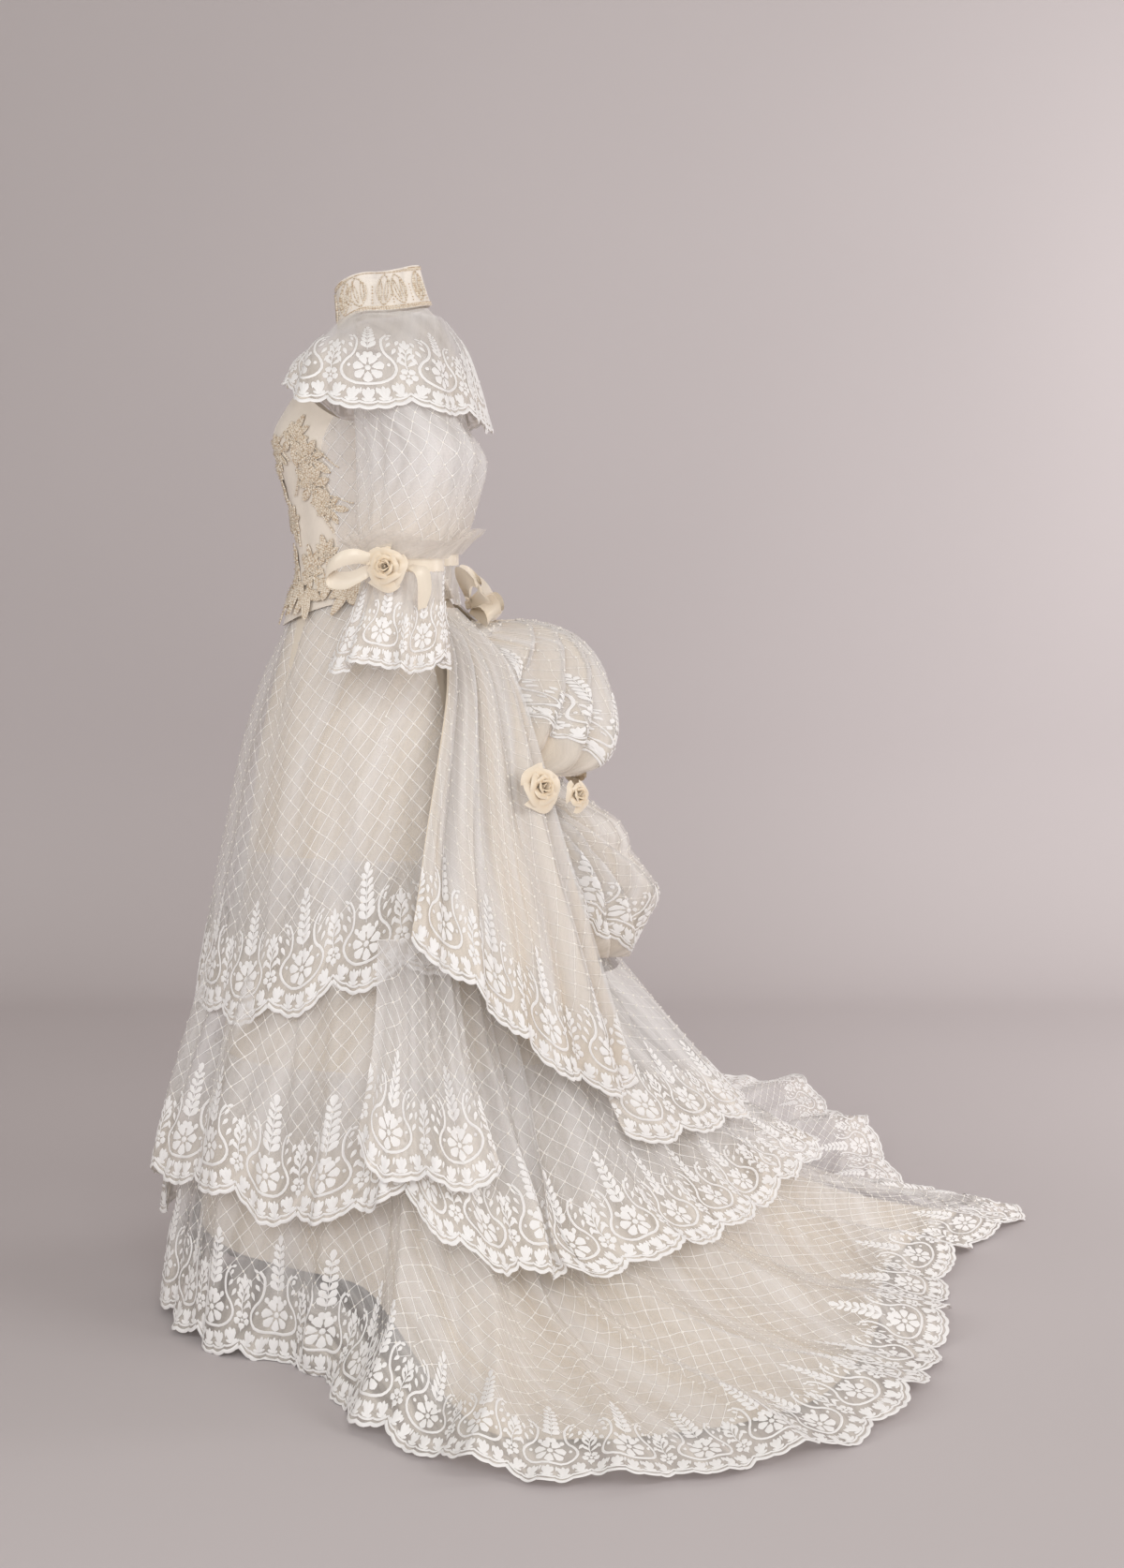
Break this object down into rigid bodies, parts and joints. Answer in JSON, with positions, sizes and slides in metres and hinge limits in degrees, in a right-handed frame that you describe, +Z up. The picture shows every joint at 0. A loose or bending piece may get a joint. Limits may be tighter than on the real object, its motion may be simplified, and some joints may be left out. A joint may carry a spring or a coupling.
{
  "type": "wedding dress",
  "caption": "Bridal gown with high collar, lace bertha, net sleeves, tiered lace skirt, draped bustle and train, hollow in its worn shape.",
  "frame": {"origin": "the point between the shoulders from which the worn gown hangs, 1.43 m above the floor that its train lies on", "axes": "+Z up, the gown faces -Y and its train runs out to +Y, its left side is +X"},
  "size_m": [1.9104, 1.3544, 1.5199],
  "materials": {
    "lace": "embroidered net",
    "net": "sheer net",
    "satin": "satin",
    "ribbon": "satin ribbon",
    "beaded": "beaded applique"
  },
  "bodies": {
    "root": {"lining_front": "satin", "lining_left": "satin", "lining_right": "satin", "train_front": "lace", "train_left": "lace", "train_right": "lace", "tier2_front": "lace", "tier2_side_left": "lace", "tier2_side_right": "lace", "tier2_back_left": "lace", "tier2_back_right": "lace", "apron": "lace", "hip_drape_left": "lace", "hip_drape_right": "lace", "upper_puff": "lace", "lower_puff": "lace", "back_drape": "lace", "bodice_front": "satin", "bodice_side_left": "satin", "bodice_side_right": "satin", "bodice_back_left": "satin", "bodice_back_right": "satin", "collar": "beaded", "yoke": "net", "bertha_left": "lace", "bertha_right": "lace", "sleeve_left": "net", "sleeve_right": "net", "sleeve_frill_left": "net", "sleeve_frill_right": "net", "sleeve_band_left": "ribbon", "sleeve_band_right": "ribbon", "flounce_left": "lace", "flounce_right": "lace", "elbow_rose_left": "ribbon", "elbow_rose_right": "ribbon", "elbow_loop_left": "ribbon", "elbow_loop_right": "ribbon", "elbow_tail_left": "ribbon", "elbow_tail_right": "ribbon", "hip_rose_left": "ribbon", "hip_rose_right": "ribbon", "hip_bud_left": "ribbon", "hip_bud_right": "ribbon", "waist_knot": "ribbon", "waist_loop_left": "ribbon", "waist_loop_right": "ribbon"}
  },
  "joints": []
}
